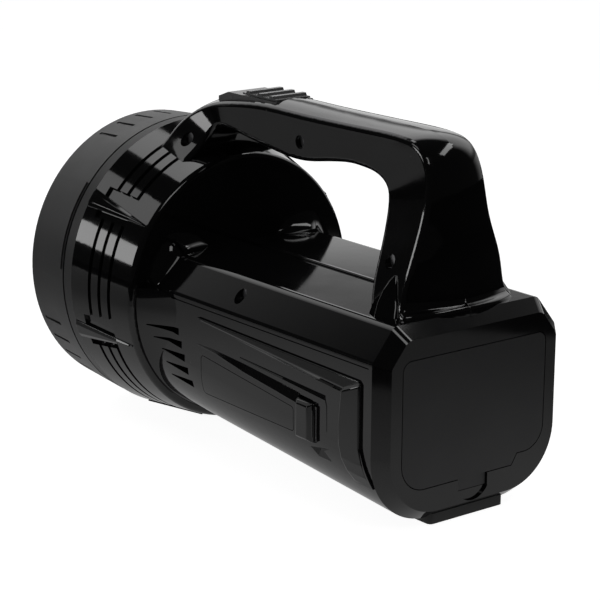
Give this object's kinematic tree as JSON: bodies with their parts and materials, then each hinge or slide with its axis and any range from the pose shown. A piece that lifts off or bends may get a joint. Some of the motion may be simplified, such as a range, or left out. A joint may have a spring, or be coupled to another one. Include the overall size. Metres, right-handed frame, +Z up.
{
  "type": "rechargeable flashlight",
  "caption": "Black hand searchlight with a D-shaped handle, a slide switch, a twist-off bezel and a hinged battery door.",
  "frame": {"origin": "middle of the bounding box in plan, on the floor that the foot and the bezel stand on", "axes": "+X along the beam, from the battery door to the lens; +Y to the left as held; +Z up, towards the handle"},
  "size_m": [0.228, 0.1348, 0.155],
  "materials": {
    "gloss_black": "high gloss moulded ABS",
    "matte_black": "fine matte moulded ABS",
    "clear_lens": "clear polycarbonate",
    "mirror_dish": "vacuum metallised",
    "rubber_black": "soft moulded rubber",
    "screw_steel": "plated steel",
    "battery_case": "plain moulded case",
    "contact_brass": "sprung strip",
    "circuit_board": "fibreglass board",
    "capacitor_sleeve": "shrunk sleeve",
    "socket_ceramic": "heat-proof moulding",
    "lamp_metal": "plain",
    "lamp_glass": "clear quartz"
  },
  "bodies": {
    "housing": {"left_shell": "gloss_black", "right_shell": "gloss_black", "side_plate": "gloss_black", "foot": "rubber_black", "switch_plate": "matte_black", "switch_module": "matte_black", "battery": "battery_case", "battery_contact_1": "contact_brass", "battery_contact_2": "contact_brass", "bulkhead": "matte_black", "charger_board": "circuit_board", "charger_capacitor": "capacitor_sleeve", "reflector": "mirror_dish", "lamp_socket": "socket_ceramic", "lamp_base": "lamp_metal", "lamp_glass": "lamp_glass", "shell_screw_1": "screw_steel", "shell_screw_2": "screw_steel", "shell_screw_3": "screw_steel", "shell_screw_4": "screw_steel"},
    "bezel": {"front_bezel": "matte_black", "lens": "clear_lens", "lens_gasket": "rubber_black", "lens_clip": "matte_black"},
    "door": {"rear_door": "matte_black", "door_pad": "rubber_black"},
    "slider": {"switch_slider": "matte_black"}
  },
  "joints": [
    {"name": "switch_slide", "type": "slide", "parent": "housing", "child": "slider", "axis": [1, 0, 0], "range_m": [0, 0.01]},
    {"name": "door_hinge", "type": "hinge", "parent": "housing", "child": "door", "pos_m": [-0.114, 0, 0.0713], "axis": [0, 1, 0], "range_deg": [0, 50]},
    {"name": "bezel_twist", "type": "hinge", "parent": "housing", "child": "bezel", "pos_m": [0.09, 0, 0.0675], "axis": [1, 0, 0], "range_deg": [0, 25]}
  ]
}
